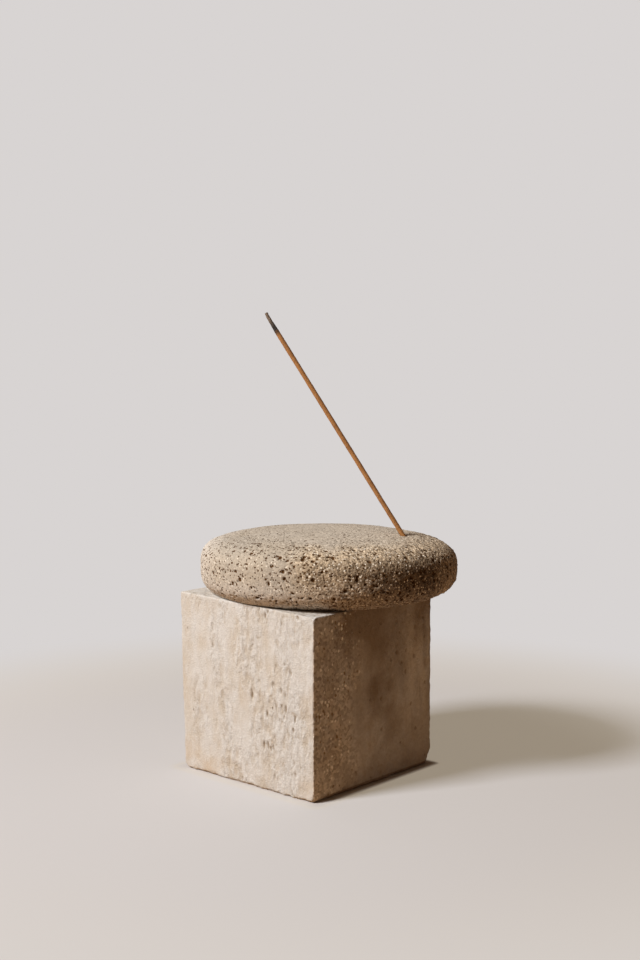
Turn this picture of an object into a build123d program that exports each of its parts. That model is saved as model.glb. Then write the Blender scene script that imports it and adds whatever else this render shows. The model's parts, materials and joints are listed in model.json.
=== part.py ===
from build123d import *
import os
from math import cos, radians, sin

# Incense holder: a drilled stone pebble standing on a sawn travertine block, with one lit stick.
# Millimetres, +Z up. The origin is the centre of the block's underside.

# Travertine block
BLOCK_WIDTH = 102.0  # along X
BLOCK_DEPTH = 101.0  # along Y, at the foot
BLOCK_HEIGHT = 100.0  # at the front
TOP_RISE = 2.8  # the sawn top climbs by this much from the front to the back
BACK_LEAN = 2.9  # the sawn back leans out by this much from the foot to the top
BLOCK_ARRIS = 0.8  # narrow flat that eases each sawn edge
CHIP_RUN = 5.0  # broken bottom corner: its reach along both bottom edges
CHIP_RISE = 9.0  # and up the vertical edge

# Pebble: an oval in plan, widest at the girth
PEBBLE_LENGTH = 149.3
PEBBLE_WIDTH = 137.0
PEBBLE_HEIGHT = 37.9
GIRTH_HEIGHT = 18.0  # widest line, above the underside
FLAT_LENGTH = 74.0  # worn foot, before it is bedded on the block's sloping top
CROWN_FULLNESS = 3.15  # 2 gives an elliptical side, more gives a fuller shoulder
CROWN_BIAS = 0.3  # the crown is this much less full on the drilled side
UNDERSIDE_FULLNESS = 3.2
UNDERSIDE_BIAS = 0.25  # the underside is this much less full on the drilled side
PEBBLE_X = 10.2  # pebble's centre from the block's centre
PEBBLE_Y = -6.9
PEBBLE_TURN = -65.4  # heading of the drilled side, degrees from +X
RING_RISES = (-90, -45, 0, 45)  # rises of the level rings that carry the skin, degrees
RIB_SPACING = 45  # degrees between the upright ribs
POINT_SPACING = 15  # degrees between the points of a rib or a ring

# Blind bore that holds the stick; it leans back over the pebble's centre
MOUTH_OFFSET = 44.1  # mouth from the pebble's centre, along its length
BORE_LEAN = 33.1  # degrees from upright
BORE_DEPTH = 18.0  # mouth to floor, along the bore
STICK_CLEARANCE = 0.65  # all round the stick
MOUTH_ROUNDING = 0.6

# Stick, measured along the bore from its floor
STICK_DIAMETER = 2.7
STICK_LENGTH = 156.2  # foot to the edge of the burnt end
SPLINT_DIAMETER = 1.3  # bamboo inside the incense
SPLINT_CLEARANCE = 0.02  # dried paste round the splint
CHAR_LENGTH = 6.4
CHAR_DIAMETER = 2.15  # where the char meets the ash
ASH_LENGTH = 6.6
ASH_DIAMETER = 1.9  # at its tip
ASH_DRIFT = 0.4  # the tip bends up by this much
ASH_ROUNDING = 0.5

BORE_DIAMETER = STICK_DIAMETER + 2 * STICK_CLEARANCE
CROWN_RISE = PEBBLE_HEIGHT - GIRTH_HEIGHT


def crown_height(offset):
    """Height of the crown above the foot, at an offset towards the drilled side."""
    share = 2 * offset / PEBBLE_LENGTH
    fullness = CROWN_FULLNESS - CROWN_BIAS
    return GIRTH_HEIGHT + CROWN_RISE * (1 - share**fullness) ** (1 / fullness)


def skin_point(heading, rise):
    """Point of the pebble's skin in its own plane, by two angles in degrees.

    The heading turns from the drilled side. The rise is -90 at the rim of the foot, 0 at the
    girth and 90 at the top, and follows one superellipse below the girth and another above.
    """
    away, aside = cos(radians(heading)), sin(radians(heading))
    level, lift = cos(radians(rise)), abs(sin(radians(rise)))
    if rise < 0:
        power = 2 / (UNDERSIDE_FULLNESS - UNDERSIDE_BIAS * away)
        radius = (FLAT_LENGTH + (PEBBLE_LENGTH - FLAT_LENGTH) * level**power) / 2
        height = GIRTH_HEIGHT * (1 - lift**power)
    else:
        power = 2 / (CROWN_FULLNESS - CROWN_BIAS * away)
        radius = PEBBLE_LENGTH / 2 * level**power
        height = GIRTH_HEIGHT + CROWN_RISE * lift**power
    return Vector(radius * away, radius * aside * PEBBLE_WIDTH / PEBBLE_LENGTH, height)


def side_rib(heading):
    """Rib of the pebble at one heading: from the rim of the foot, over the girth, to the top."""
    points = [skin_point(heading, rise) for rise in range(-90, 91, POINT_SPACING)]
    inward = skin_point(heading + 180, 0) - skin_point(heading, 0)
    with BuildLine() as rib:
        Spline(*points, tangents=[points[1] - points[0], inward])
    return rib.edge()


def level_ring(rise):
    """Closed ring of the pebble at one rise; it starts on the side away from the bore."""
    points = [skin_point(180 + turn, rise) for turn in range(0, 360, POINT_SPACING)]
    with BuildLine() as ring:
        Spline(*points, periodic=True)
    return ring.edge()


# The block's side seen along X; its top slopes up from the front edge
front, back = -BLOCK_DEPTH / 2, BLOCK_DEPTH / 2
back_top = (back + BACK_LEAN, BLOCK_HEIGHT + TOP_RISE)
top_plane = Plane(
    origin=(0, front, BLOCK_HEIGHT),
    x_dir=(1, 0, 0),
    z_dir=(0, -TOP_RISE, BLOCK_DEPTH + BACK_LEAN),
)

# The pebble's own plane lies level with that front edge, with x towards the drilled side
pebble_plane = Plane(
    origin=(PEBBLE_X, PEBBLE_Y, BLOCK_HEIGHT),
    x_dir=(cos(radians(PEBBLE_TURN)), sin(radians(PEBBLE_TURN)), 0),
    z_dir=(0, 0, 1),
)
bore_axis = -pebble_plane.x_dir * sin(radians(BORE_LEAN)) + pebble_plane.z_dir * cos(radians(BORE_LEAN))
mouth_point = pebble_plane.from_local_coords(Vector(MOUTH_OFFSET, 0, crown_height(MOUTH_OFFSET)))
floor_plane = Plane(origin=mouth_point - bore_axis * BORE_DEPTH, x_dir=-pebble_plane.y_dir, z_dir=bore_axis)

# Travertine block: a cube sawn a little out of square, with eased edges and one broken bottom corner
with BuildPart() as travertine_block:
    with BuildSketch(Plane.YZ):
        Polygon((front, 0), (back, 0), back_top, (front, BLOCK_HEIGHT), align=None)
    extrude(amount=BLOCK_WIDTH / 2, both=True)
    chamfer(travertine_block.edges(), BLOCK_ARRIS)
    corner = Vector(BLOCK_WIDTH / 2, front, 0)
    along_width = corner - Vector(CHIP_RUN, 0, 0)
    along_depth = corner + Vector(0, CHIP_RUN, 0)
    up_edge = corner + Vector(0, 0, CHIP_RISE)
    break_normal = (along_depth - along_width).cross(up_edge - along_width)
    split(bisect_by=Plane(origin=along_width, z_dir=break_normal), keep=Keep.BOTTOM)
travertine_block.part.label = "travertine_block"

# Pebble: one skin stretched over ribs and rings and closed by its foot, then bedded on the block and drilled
rings = [level_ring(rise) for rise in RING_RISES]
ribs = [side_rib(180 + turn) for turn in range(0, 360, RIB_SPACING)]
pebble_skin = Face.make_gordon_surface([*rings, skin_point(0, 90)], ribs)
pebble_foot = Face(Wire([pebble_skin.edges().sort_by(Axis.Z)[0]]))
pebble_form = Solid(Shell([pebble_skin, pebble_foot]))
with BuildPart() as stone_pebble:
    with Locations(pebble_plane):
        add(pebble_form)
    split(bisect_by=top_plane, keep=Keep.TOP)
    with BuildSketch(floor_plane):
        Circle(BORE_DIAMETER / 2)
    extrude(amount=BORE_DEPTH + PEBBLE_HEIGHT, mode=Mode.SUBTRACT)
    mouth_edge = stone_pebble.edges(Select.LAST).sort_by(Axis.Z)[-1]
    fillet(mouth_edge, MOUTH_ROUNDING)
stone_pebble.part.label = "stone_pebble"

# Bamboo splint: runs from the bore's floor up to the ash
with BuildPart() as bamboo_splint:
    with BuildSketch(floor_plane):
        Circle(SPLINT_DIAMETER / 2)
    extrude(amount=STICK_LENGTH + CHAR_LENGTH)
bamboo_splint.part.label = "bamboo_splint"

# Incense coat: the rolled paste round the splint
with BuildPart() as incense_coat:
    with BuildSketch(floor_plane):
        Circle(STICK_DIAMETER / 2)
        Circle(SPLINT_DIAMETER / 2 + SPLINT_CLEARANCE, mode=Mode.SUBTRACT)
    extrude(amount=STICK_LENGTH)
incense_coat.part.label = "incense_coat"

# Charred collar: tapers from the coat to the ash, round the end of the splint
with BuildPart() as charred_collar:
    with BuildSketch(floor_plane.offset(STICK_LENGTH)):
        Circle(STICK_DIAMETER / 2)
    with BuildSketch(floor_plane.offset(STICK_LENGTH + CHAR_LENGTH)):
        Circle(CHAR_DIAMETER / 2)
    loft()
    with BuildSketch(floor_plane.offset(STICK_LENGTH)):
        Circle(SPLINT_DIAMETER / 2 + SPLINT_CLEARANCE)
    extrude(amount=CHAR_LENGTH, mode=Mode.SUBTRACT)
charred_collar.part.label = "charred_collar"

# Ash tip: a thin bent plug, seated on the collar and the splint
ash_plane = floor_plane.offset(STICK_LENGTH + CHAR_LENGTH)
with BuildPart() as ash_tip:
    for share in (0, 0.5, 1):
        drift = ASH_DRIFT * share**2
        radius = (CHAR_DIAMETER + (ASH_DIAMETER - CHAR_DIAMETER) * share) / 2
        with BuildSketch(ash_plane.offset(ASH_LENGTH * share)):
            with Locations((0, drift)):
                Circle(radius)
    loft()
    tip_edge = ash_tip.faces().sort_by(SortBy.DISTANCE, reverse=True)[0].edges()
    fillet(tip_edge, ASH_ROUNDING)
ash_tip.part.label = "ash_tip"

os.makedirs("parts", exist_ok=True)
export_step(travertine_block.part, "parts/travertine_block.step")
export_step(stone_pebble.part, "parts/stone_pebble.step")
export_step(bamboo_splint.part, "parts/bamboo_splint.step")
export_step(incense_coat.part, "parts/incense_coat.step")
export_step(charred_collar.part, "parts/charred_collar.step")
export_step(ash_tip.part, "parts/ash_tip.step")
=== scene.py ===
"""Dressed incense stick holder: a drilled porous pebble on a sawn travertine block, with one lit stick."""

import json
from math import atan2, cos, pi, radians, sin

import bpy
import numpy as np
from bpy.props import FloatProperty, FloatVectorProperty, IntProperty, PointerProperty
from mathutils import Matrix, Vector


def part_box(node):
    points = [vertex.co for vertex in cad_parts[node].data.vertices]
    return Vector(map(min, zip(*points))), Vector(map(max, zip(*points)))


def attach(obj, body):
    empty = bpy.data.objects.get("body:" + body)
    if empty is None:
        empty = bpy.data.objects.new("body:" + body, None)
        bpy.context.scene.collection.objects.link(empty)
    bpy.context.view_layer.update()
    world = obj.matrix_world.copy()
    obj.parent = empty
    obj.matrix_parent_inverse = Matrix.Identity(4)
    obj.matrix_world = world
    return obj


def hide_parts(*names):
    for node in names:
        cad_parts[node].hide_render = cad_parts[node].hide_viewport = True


bl_info = {
    "name": "Incense Stick Holder",
    "version": (1, 0, 0),
    "blender": (4, 5, 0),
    "location": "3D View > Sidebar > Holder",
    "description": "Travertine block, porous pebble and incense stick, built over the packed frame",
    "category": "Add Mesh",
}

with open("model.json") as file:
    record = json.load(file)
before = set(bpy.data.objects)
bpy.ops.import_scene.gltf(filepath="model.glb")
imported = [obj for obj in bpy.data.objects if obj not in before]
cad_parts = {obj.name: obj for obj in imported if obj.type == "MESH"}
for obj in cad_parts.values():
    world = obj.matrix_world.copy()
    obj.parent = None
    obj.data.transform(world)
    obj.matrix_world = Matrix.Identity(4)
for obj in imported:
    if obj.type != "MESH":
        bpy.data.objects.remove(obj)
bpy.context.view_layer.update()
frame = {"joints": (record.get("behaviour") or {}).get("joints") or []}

MM = 0.001  # one millimetre, in metres; shapes are worked out in millimetres
UP = np.array([0.0, 0.0, 1.0])


def node_box(node):
    """Lowest and highest corner of a node, in millimetres."""
    low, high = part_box(node)
    return np.array(low) / MM, np.array(high) / MM


STICK_AXIS = np.array(next(j["axis"] for j in frame["joints"] if j["name"] == "stick_pull"), float)
STICK_AXIS /= np.linalg.norm(STICK_AXIS)
STICK_UP = UP - STICK_AXIS * (UP @ STICK_AXIS)  # up from the stick, square to it
STICK_UP /= np.linalg.norm(STICK_UP)
STICK_SIDE = np.cross(STICK_AXIS, STICK_UP)


def rod_on_axis(node):
    """Foot, length and radius of a round rod that lies along the stick.

    On each axis the rod's box spans its length times that part of the direction, plus twice its
    radius times the part across it. The two unknowns are fitted to the three spans.
    """
    low, high = node_box(node)
    across = np.sqrt(1 - STICK_AXIS**2)
    spans = np.stack([np.abs(STICK_AXIS), 2 * across], 1)
    length, radius = np.linalg.lstsq(spans, high - low, rcond=None)[0]
    foot = np.where(STICK_AXIS > 0, low + radius * across, high - radius * across)
    return foot, length, radius


BLOCK_LOW, BLOCK_HIGH = node_box("travertine_block")
PEBBLE_LOW, PEBBLE_HIGH = node_box("stone_pebble")
STICK_FOOT, COAT_LENGTH, COAT_RADIUS = rod_on_axis("incense_coat")
_, SPLINT_LENGTH, SPLINT_RADIUS = rod_on_axis("bamboo_splint")
SLEEVE_BORE = SPLINT_RADIUS + 0.02  # the dried paste and char stand this little clear of the splint
COAT_PROUD = 0.12  # the paste's bumps stand out no further than this

# Rows of points along the stick's pieces, down the bores of the paste and the char, and over the tip
SPLINT_ROWS = 60
COAT_ROWS = 620
COAT_BORE_ROWS = 12
CHAR_ROWS = 70
CHAR_BORE_ROWS = 8
ASH_ROWS = 70
TIP_ROWS = 12

# The block is sawn out of square: its top climbs to the back, and its back leans out
TOP_RISE = 2.8
BACK_LEAN = 2.9
BLOCK_SQUARE = BLOCK_HIGH - (0, BACK_LEAN, TOP_RISE)  # its far top corner if it were square
BLOCK_CELLS = (98, 170, 120)  # lattice cells along X, Y and Z
EDGE_LINES = np.array([0.0, 0.3, 0.65, 1.1])  # close lattice lines beside each edge
EDGE_BAND = 1.7  # where the even lines start

# Broken corners: the side of each on X, Y and Z, and how far the break runs along each edge
BROKEN_CORNERS = (
    ((1, -1, -1), (5.0, 5.0, 9.0)),
    ((-1, -1, 1), (2.6, 3.4, 1.8)),
    ((-1, 1, -1), (2.2, 4.2, 3.4)),
    ((-1, -1, -1), (1.8, 1.6, 2.6)),
    ((1, 1, 1), (3.0, 2.4, 2.0)),
)

# The stick leans back over the pebble, so the drilled side lies the other way
PEBBLE_TURN = atan2(-STICK_AXIS[1], -STICK_AXIS[0])
PEBBLE_BASE = np.array([*(PEBBLE_LOW + PEBBLE_HIGH)[:2] / 2, BLOCK_SQUARE[2]])
PEBBLE_HEIGHT = PEBBLE_HIGH[2] - PEBBLE_BASE[2]
PEBBLE_CELLS = (176, 176, 54)  # lattice cells over the top and underside, and down the side
HOLE_PATCH = 5.0  # the crown this near the hole's line becomes the hole
HOLE_REACH = 13.5  # and the crown up to here spreads out to make room

FLOOR_REACH = 4000.0  # radius of the floor's disc
FLOOR_MIDDLE = 20.0  # radius of its middle face
FLOOR_RINGS = 24
FLOOR_SPOKES = 64
FLOOR_GAP = 0.1  # how far the floor lies below the block's underside
FLOOR_SHADED = 160 * MM  # nearer than this to the origin the floor shows most shade
FLOOR_PLAIN = 420 * MM  # and further than this it is plain
FOOT_BAND = 10 * MM  # this near the block's foot it shows its true shade
SENSOR_WIDTH = 36.0  # of the camera, in millimetres


def oval_half_axes():
    """Half length and half width of the pebble's oval, from its box and its turn.

    The squares of the box's half spans add up to those of the half axes, and their difference is
    that of the half axes times the cosine of twice the turn.
    """
    across, along = ((PEBBLE_HIGH - PEBBLE_LOW)[:2] / 2) ** 2
    total, gap = across + along, (across - along) / cos(2 * PEBBLE_TURN)
    return ((total + gap) / 2) ** 0.5, ((total - gap) / 2) ** 0.5


HALF_LENGTH, HALF_WIDTH = oval_half_axes()
OWN_AXES = np.array([
    [cos(PEBBLE_TURN), sin(PEBBLE_TURN), 0],
    [-sin(PEBBLE_TURN), cos(PEBBLE_TURN), 0],
    UP,
])  # rows: towards the drilled side, across, up


def size_setting(name, description, size):
    """Length setting, from millimetres."""
    return FloatProperty(name=name, description=description, default=size * MM, min=0.01 * MM, unit="LENGTH")


def angle_setting(name, description, degrees):
    """Angle setting, from degrees."""
    return FloatProperty(name=name, description=description, default=radians(degrees), subtype="ANGLE")


def number_setting(name, description, number):
    """Setting that is a plain number."""
    return FloatProperty(name=name, description=description, default=number, min=0.0, max=6.0)


def colour_setting(name, description, colour):
    """Colour setting."""
    return FloatVectorProperty(
        name=name, description=description, default=colour, subtype="COLOR", min=0.0, max=1.0)


class BlockSettings(bpy.types.PropertyGroup):
    """Sizes and colours of the travertine block."""

    edge_rounding: size_setting("Edge rounding", "Mean radius of the worn edges", 0.9)
    pit_depth: size_setting("Pit depth", "Depth of the open pores of the stone", 0.9)
    pale: colour_setting("Pale stone", "Colour of the pale beds", (0.615, 0.592, 0.566))
    tan: colour_setting("Tan stone", "Colour of the darker beds", (0.565, 0.51, 0.445))
    chalk: colour_setting("Chalk", "Colour of the ridges of the beds", (0.65575, 0.6316, 0.6043))
    furrow: colour_setting("Furrow", "Colour of the furrows between the ridges", (0.44, 0.365, 0.28))
    ochre: colour_setting("Ochre", "Colour of the rusty stains", (0.50, 0.35, 0.19))
    # Painted shade: the pores, their strokes, the sand's holes and the front face's foot are painted this
    # colour
    pore: colour_setting("Pore", "Colour deep in the pores", (0.25, 0.17, 0.095))
    # Painted shade: the colour the front face's shaded upper middle is painted
    painted_shade: colour_setting("Dusky patch", "Colour of the dark patch on the front face", (0.27, 0.195, 0.125))
    # Also painted as bounce light on the front face's foot and far corner
    flake: colour_setting("Flake", "Colour of the pale grains on the front face", (0.98, 0.92, 0.81))


class PebbleSettings(bpy.types.PropertyGroup):
    """Form and colours of the pebble."""

    girth_height: size_setting("Girth height", "Height of the widest line above the underside", 18.0)
    flat_length: size_setting("Flat length", "Length of the flat that the pebble stands on", 74.0)
    crown_fullness: number_setting(
        "Crown fullness", "2 gives an elliptical side, more a fuller shoulder", 3.15)
    crown_bias: number_setting("Crown bias", "How much less full the crown is on the drilled side", 0.3)
    underside_fullness: number_setting("Underside fullness", "Fullness of the side below the girth", 3.2)
    underside_bias: number_setting(
        "Underside bias", "How much less full the underside is on the drilled side", 0.25)
    bore_clearance: size_setting("Bore clearance", "Room round the stick in its hole", 0.65)
    mouth_rounding: size_setting("Mouth rounding", "Radius of the hole's eased edge", 0.6)
    pit_depth: size_setting("Pit depth", "Depth of the gas pores", 1.1)
    grain_height: size_setting("Grain height", "How far the grains stand out of the skin", 0.55)
    ground: colour_setting("Ground", "Colour of the stone between its grains", (0.428, 0.380, 0.319))
    tawny: colour_setting("Tawny ground", "Warmer ground of the coarse side", (0.515, 0.425, 0.312))
    # Painted shade: the colour of the shaded drilled side
    dark: colour_setting("Dark ground", "Coarse ground where it is darkest", (0.112, 0.078, 0.048))
    # Pale far end, and painted bounce light near the foot
    pale_end_and_bounce: colour_setting("Pale end", "Pale skin away from the hole and near the foot", (0.74, 0.70, 0.655))
    grain: colour_setting("Pale grain", "Colour of the pale grains and the worn top", (0.70, 0.635, 0.55))
    crystal: colour_setting("Crystal", "Colour of the palest grains", (0.84, 0.755, 0.635))
    # Painted shade: the pores, sunk in the mesh too, are painted this colour
    pit: colour_setting("Pit", "Colour deep in the pores", (0.088, 0.036, 0.007))


class StickSettings(bpy.types.PropertyGroup):
    """Sizes and colours of the incense stick."""

    char_radius: size_setting("Char radius", "Radius where the char meets the ash", 1.075)
    ash_length: size_setting("Ash length", "Length of the ash beyond the char", 6.6)
    ash_radius: size_setting("Ash radius", "Radius of the ash at its tip", 0.95)
    ash_drift: size_setting("Ash drift", "How far the tip bends up", 0.4)
    ash_rounding: size_setting("Ash rounding", "Radius of the tip's soft edge", 0.5)
    around: IntProperty(name="Cells round", description="Cells round the stick", default=40, min=12, max=96)
    paste: colour_setting("Paste", "Colour of the rolled incense", (0.40, 0.185, 0.060))
    paste_dark: colour_setting("Dark paste", "Colour of the darker wood dust", (0.24, 0.105, 0.036))
    char: colour_setting("Char", "Colour of the burnt band", (0.028, 0.022, 0.018))
    ash: colour_setting("Ash", "Colour of the ash", (0.22, 0.165, 0.125))
    bamboo: colour_setting("Bamboo", "Colour of the splint", (0.56, 0.42, 0.24))


class StageSettings(bpy.types.PropertyGroup):
    """Camera, lamp, room and floor."""

    camera_place: FloatVectorProperty(
        name="Camera", description="Where the camera stands", subtype="TRANSLATION",
        default=(-0.5632, -0.5163, 0.2301))
    camera_tilt: angle_setting("Tilt", "How far the camera looks down", 4.72)
    camera_heading: angle_setting("Heading", "Turn of the camera about the vertical", -48.0)
    lens: FloatProperty(
        name="Lens", description="Focal length in millimetres", default=50.0, unit="CAMERA")
    window_power: FloatProperty(
        name="Window light", description="Power of the large soft lamp", default=86.0, unit="POWER")
    window_colour: colour_setting("Window colour", "Colour of the large soft lamp", (1.0, 0.985, 0.965))
    window_side: size_setting("Window side", "Side of the square lamp", 540.0)
    window_distance: size_setting("Window distance", "How far off the lamp stands", 2500.0)
    window_aim: size_setting("Window aim", "Height that the lamp faces", 100.0)
    window_heading: angle_setting("Window heading", "Where the lamp stands, round from X", 161.0)
    window_rise: angle_setting("Window rise", "How high the lamp stands above the horizon", 40.0)
    fill_colour: colour_setting("Room light", "Light of the room on the shaded sides", (0.105, 0.063, 0.037))
    floor_colour: colour_setting("Floor", "Colour of the floor and the backdrop", (0.687, 0.658, 0.650))
    floor_lit: colour_setting("Lit floor", "Floor where the window lights it", (0.565, 0.575, 0.645))
    floor_foot: colour_setting("Floor at the foot", "Floor close to the block's foot", (0.58, 0.55, 0.53))
    shadow_colour: colour_setting("Floor shadow", "Warm colour in the holder's shadow", (0.72, 0.62, 0.48))
    floor_bounce: colour_setting("Floor bounce", "Colour thrown back on to the stone", (0.42, 0.27, 0.155))


def eased(low, high, x):
    """0 at low, 1 at high and level beyond them, with a smooth S between."""
    t = np.clip((x - low) / (high - low), 0, 1)
    return t * t * (3 - 2 * t)


def bell(x, middle, width):
    """1 at the middle, falling off smoothly over a width on both sides."""
    return np.exp(-(((x - middle) / width) ** 2))


LOW_WORD = 0xFFFFFFFF  # the low 32 bits of a whole number
SCATTER = (374761393, 668265263, 1103515245)  # a large odd number for each axis


def cell_number(cell, seed):
    """A steady number from 0 to 1 for each whole-number cell: its indices times large odd numbers, mixed."""
    n = ((cell.astype(np.int64) * SCATTER).sum(-1) + seed * 97531) & LOW_WORD
    n = ((n ^ (n >> 13)) * 1274126177) & LOW_WORD
    n = ((n ^ (n >> 16)) * 1911520717) & LOW_WORD
    return (n ^ (n >> 15)) / 2.0**32


def lattice_steps(*steps):
    """All the steps to neighbouring corners or cells, as rows."""
    return np.stack(np.meshgrid(steps, steps, steps, indexing="ij"), -1).reshape(-1, 3)


CORNERS = lattice_steps(0, 1)
NEIGHBOURS = lattice_steps(-1, 0, 1)


def swell(points, spacing, seed):
    """Smooth noise from -1 to 1: numbers at the corners of a lattice, blended by an S in each direction."""
    q = points / spacing
    base = np.floor(q)
    f = q - base
    w = f * f * f * (f * (f * 6 - 15) + 10)
    total = np.zeros(len(points))
    for corner in CORNERS:
        weight = np.prod(np.where(corner == 1, w, 1 - w), axis=1)
        total += weight * cell_number(base + corner, seed)
    return 2 * total - 1


def rough(points, spacing, seed, layers=3):
    """Layers of swell, each half as wide and half as strong as the one before."""
    return sum(swell(points, spacing / 2**k, seed + k) / 2**k for k in range(layers))


def drifted(points, spacing, amount, seed):
    """Points moved by three swells, which makes round spots irregular."""
    return points + amount * np.stack([swell(points, spacing, seed + k) for k in (0, 1, 2)], 1)


def spots(points, spacing, seed, share, least, most):
    """Scattered round spots: one in a share of the cells, each with its own centre and radius.

    Gives how deep each point lies inside the nearest spot, below zero outside, and that spot's own
    number from 0 to 1.
    """
    base = np.floor(points / spacing)
    depth = np.full(len(points), -spacing)
    tone = np.zeros(len(points))
    for step in NEIGHBOURS:
        cell = base + step
        centre = cell + 0.15 + 0.7 * np.stack([cell_number(cell, seed + k) for k in (1, 2, 3)], 1)
        radius = least + (most - least) * cell_number(cell, seed + 4) ** 2
        inside = radius - np.linalg.norm(points - centre * spacing, axis=1)
        inside = np.where(cell_number(cell, seed + 5) < share, inside, -spacing)
        nearer = inside > depth
        depth = np.where(nearer, inside, depth)
        tone = np.where(nearer, cell_number(cell, seed + 6), tone)
    return depth, tone


def wrapped_lattice(cells):
    """Lattice over the six sides of a box of cells, with shared edges.

    Gives each point's whole-number place and the quads, which face out: on each side the two
    directions in order make a right hand with the outward one, and the far side is turned over.
    """
    lines = np.array(cells) + 1
    codes = []
    for axis in range(3):
        u, v = (axis + 1) % 3, (axis + 2) % 3
        place = np.zeros((lines[u], lines[v], 3), int)
        place[..., u], place[..., v] = np.meshgrid(np.arange(lines[u]), np.arange(lines[v]), indexing="ij")
        for side in (0, 1):
            place[..., axis] = side * cells[axis]
            code = np.ravel_multi_index(tuple(np.moveaxis(place, -1, 0)), lines)
            quads = np.stack([code[:-1, :-1], code[1:, :-1], code[1:, 1:], code[:-1, 1:]], -1).reshape(-1, 4)
            codes.append(quads if side else quads[:, ::-1])
    used, quads = np.unique(np.concatenate(codes), return_inverse=True)
    return np.stack(np.unravel_index(used, lines), 1), quads.reshape(-1, 4)


def new_piece(name, points, faces, material):
    """Smooth mesh object at the origin, from points in millimetres."""
    if name in bpy.data.objects:
        raise RuntimeError(f"{name} is already in the scene")
    mesh = bpy.data.meshes.new(name)
    mesh.from_pydata(points * MM, [], faces)
    mesh.polygons.foreach_set("use_smooth", np.ones(len(mesh.polygons), bool))
    mesh.materials.append(material)
    mesh.update()
    piece = bpy.data.objects.new(name, mesh)
    bpy.context.scene.collection.objects.link(piece)
    return piece


def piece_points(piece):
    """The mesh's points in millimetres, as rows."""
    points = np.empty(len(piece.data.vertices) * 3, np.float32)
    piece.data.vertices.foreach_get("co", points)
    return points.reshape(-1, 3).astype(float) / MM


def outward(piece):
    """The mesh's normals at its points, as rows."""
    normals = np.empty(len(piece.data.vertices) * 3, np.float32)
    piece.data.vertex_normals.foreach_get("vector", normals)
    return normals.reshape(-1, 3).astype(float)


def set_points(piece, points):
    """Moves the mesh's points, given in millimetres."""
    piece.data.vertices.foreach_set("co", (points * MM).astype(np.float32).ravel())
    piece.data.update()


def set_marks(piece, **marks):
    """Stores numbers at the points, which the material reads by name."""
    for name, values in marks.items():
        mark = piece.data.attributes.new(name, "FLOAT", "POINT")
        mark.data.foreach_set("value", values.astype(np.float32))


def seat(piece, body, node):
    """The piece rides on a body and stands in for a node, whose packed part is hidden."""
    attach(piece, body)
    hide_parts(node)


def opaque(colour):
    """A colour as four numbers; a socket stays as it is."""
    return colour if isinstance(colour, bpy.types.NodeSocket) else (*colour, 1.0)


def scaled(colour, factor):
    """A colour made darker or paler by a factor."""
    return tuple(factor * part for part in colour)


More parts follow.
